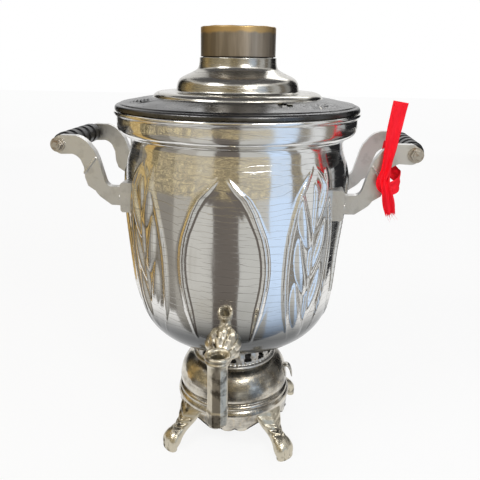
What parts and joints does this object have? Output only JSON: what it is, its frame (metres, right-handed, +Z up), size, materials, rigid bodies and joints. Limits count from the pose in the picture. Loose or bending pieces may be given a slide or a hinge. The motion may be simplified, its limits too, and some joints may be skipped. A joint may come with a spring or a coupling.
{
  "type": "samovar",
  "caption": "Footed urn-shaped water boiler with a central fire tube, lift-off lid, front tap with turning plug, two strap handles and a tied ribbon.",
  "frame": {"origin": "on the floor under the upright axis, in the plane of the feet", "axes": "+Z up along the chimney, the tap towards -Y, the handles along X"},
  "size_m": [0.369, 0.2787, 0.4485],
  "materials": {
    "base_bell": "polished nickel plate, lightly tarnished",
    "neck_gallery": "satin nickel plate",
    "body_shell": "polished nickel plate with fine scratches",
    "fire_tube": "tarnished brass",
    "chimney_sleeve": "heat-stained brass",
    "grate": "rough cast iron",
    "rim_collar": "polished nickel plate",
    "lid": "dulled nickel plate",
    "lid_ring": "nickel plate",
    "tap_body": "worn nickel on brass",
    "tap_plug": "turned brass",
    "tap_rosette": "worn nickel on brass",
    "tap_gasket": "moulded rubber",
    "tap_lock_nut": "turned brass",
    "strap_right_front": "cast aluminium",
    "strap_right_rear": "cast aluminium",
    "strap_left_front": "cast aluminium",
    "strap_left_rear": "cast aluminium",
    "grip_right": "black moulded grip",
    "grip_left": "black moulded grip",
    "handle_rods": "turned steel",
    "rod_washers": "steel",
    "rod_nuts": "steel",
    "bracket_rivet_heads": "aluminium",
    "side_tab": "nickel plate",
    "red_ribbon": "woven ribbon",
    "foot_right_front": "cast, nickel plated",
    "foot_left_front": "cast, nickel plated",
    "foot_left_rear": "cast, nickel plated",
    "foot_right_rear": "cast, nickel plated"
  },
  "bodies": {
    "samovar": {"base_bell": "base_bell", "neck_gallery": "neck_gallery", "body_shell": "body_shell", "fire_tube": "fire_tube", "chimney_sleeve": "chimney_sleeve", "grate": "grate", "rim_collar": "rim_collar", "tap_body": "tap_body", "tap_rosette": "tap_rosette", "tap_gasket": "tap_gasket", "tap_lock_nut": "tap_lock_nut", "strap_right_front": "strap_right_front", "strap_right_rear": "strap_right_rear", "strap_left_front": "strap_left_front", "strap_left_rear": "strap_left_rear", "grip_right": "grip_right", "grip_left": "grip_left", "handle_rods": "handle_rods", "rod_washers": "rod_washers", "rod_nuts": "rod_nuts", "bracket_rivet_heads": "bracket_rivet_heads", "side_tab": "side_tab", "red_ribbon": "red_ribbon", "foot_right_front": "foot_right_front", "foot_left_front": "foot_left_front", "foot_left_rear": "foot_left_rear", "foot_right_rear": "foot_right_rear"},
    "lid_unit": {"lid": "lid", "lid_ring": "lid_ring"},
    "plug": {"tap_plug": "tap_plug"}
  },
  "joints": [
    {"name": "lid_lift", "type": "slide", "parent": "samovar", "child": "lid_unit", "axis": [0, 0, 1], "range_m": [0, 0.1]},
    {"name": "plug_turn", "type": "hinge", "parent": "samovar", "child": "plug", "pos_m": [0, -0.14, 0.15], "axis": [0, 0, 1], "range_deg": [0, 90]}
  ]
}
